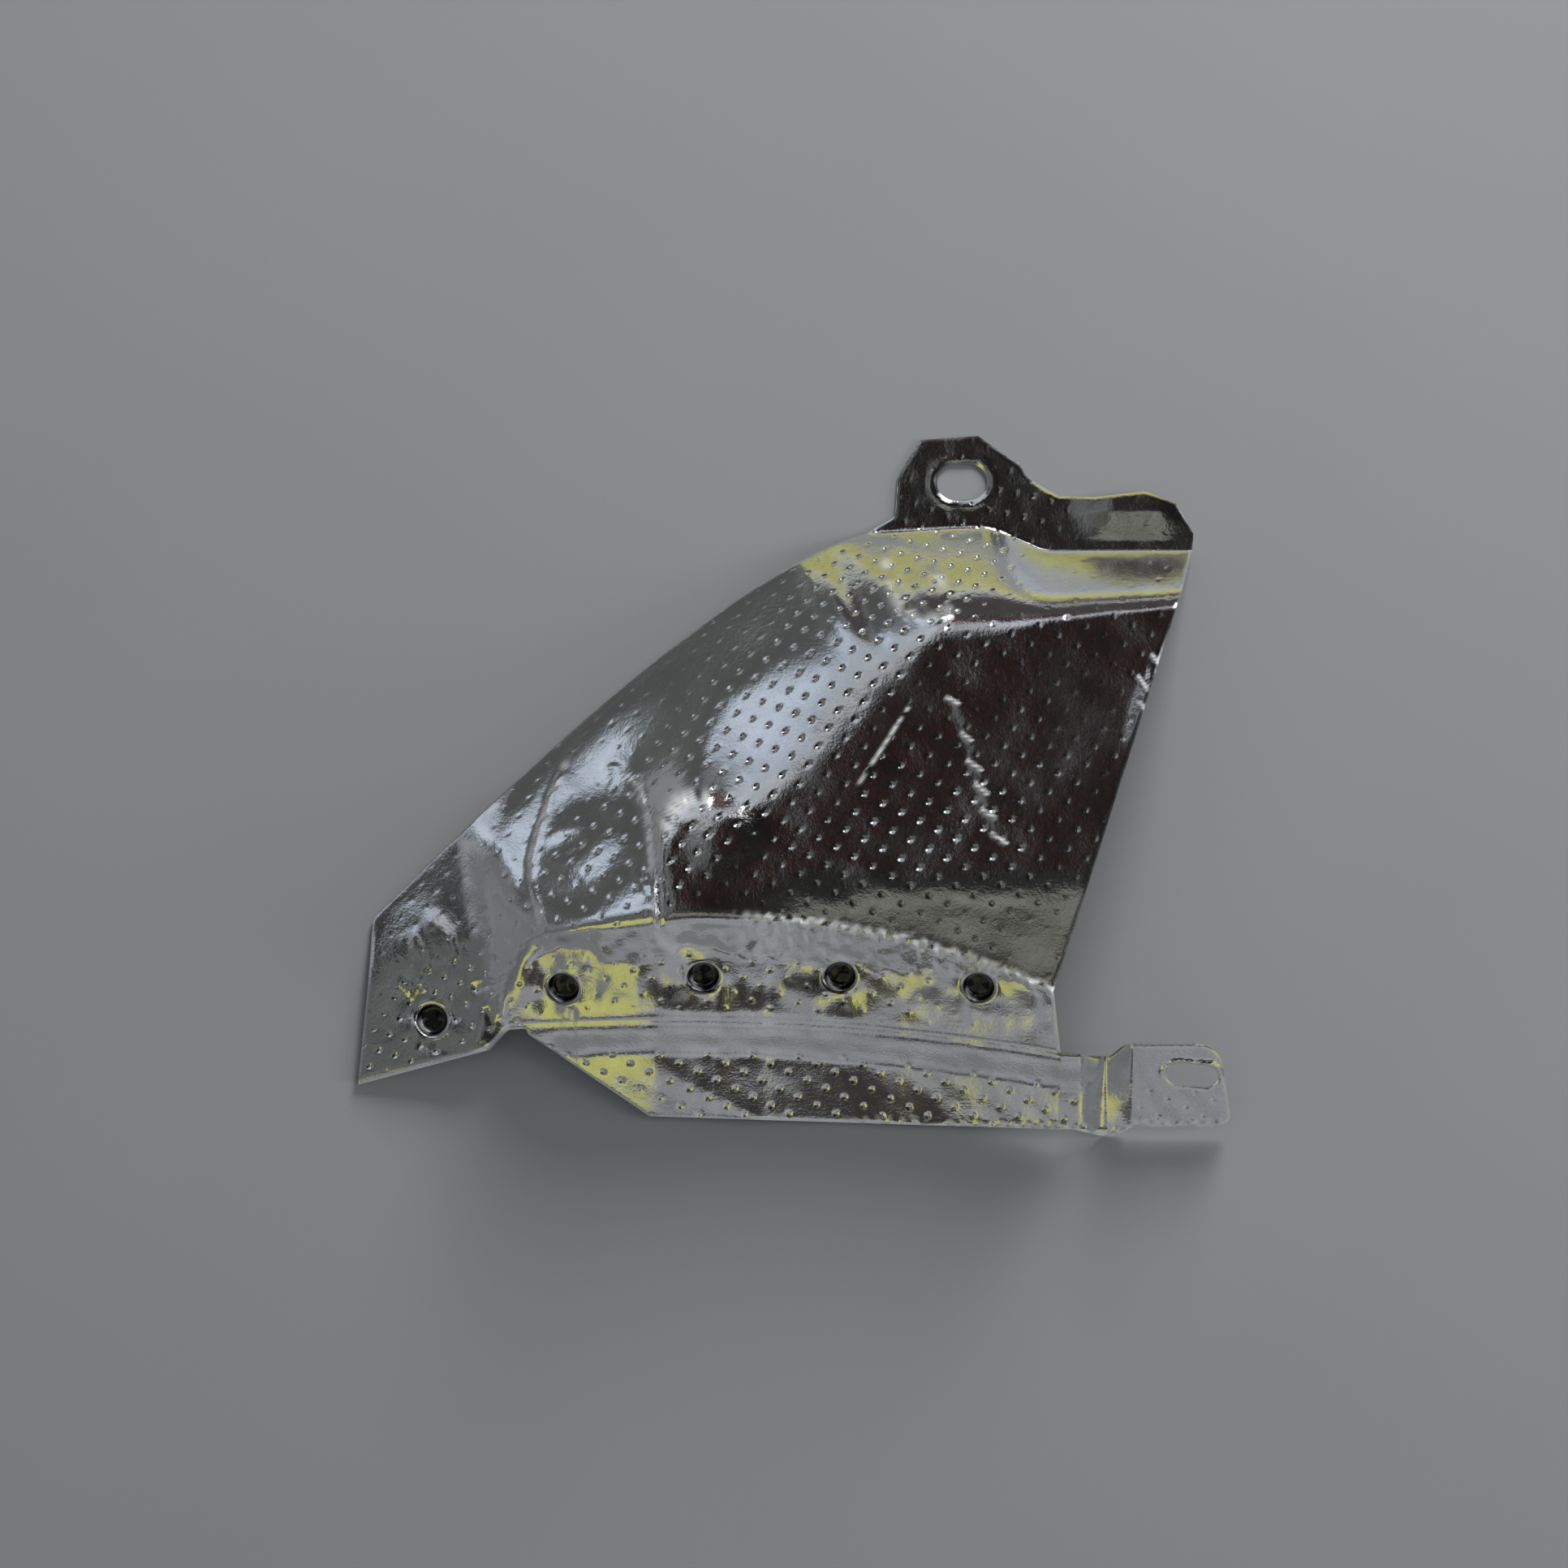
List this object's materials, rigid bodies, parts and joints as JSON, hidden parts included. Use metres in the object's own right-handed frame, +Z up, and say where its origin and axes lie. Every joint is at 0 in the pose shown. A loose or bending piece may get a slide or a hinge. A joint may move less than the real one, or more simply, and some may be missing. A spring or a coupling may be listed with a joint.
{
  "type": "fender heat shield",
  "caption": "Pressed hood of dimpled aluminium sheet, clinched to a bent support strip; an ear with an oval hole at the back, a slotted tab at the front right.",
  "frame": {"origin": "middle of the footprint, on the table that the shield lies on", "axes": "+X along the length, towards the tab; +Y to the back, towards the ear; +Z up, out of the main face"},
  "size_m": [0.2154, 0.173, 0.0317],
  "materials": {
    "hood_sheet": "bright rolled sheet with small pressed dimples",
    "strip_sheet": "bright rolled sheet with small pressed dimples"
  },
  "bodies": {
    "root": {"hood_panel": "hood_sheet", "support_strip": "strip_sheet"}
  },
  "joints": []
}
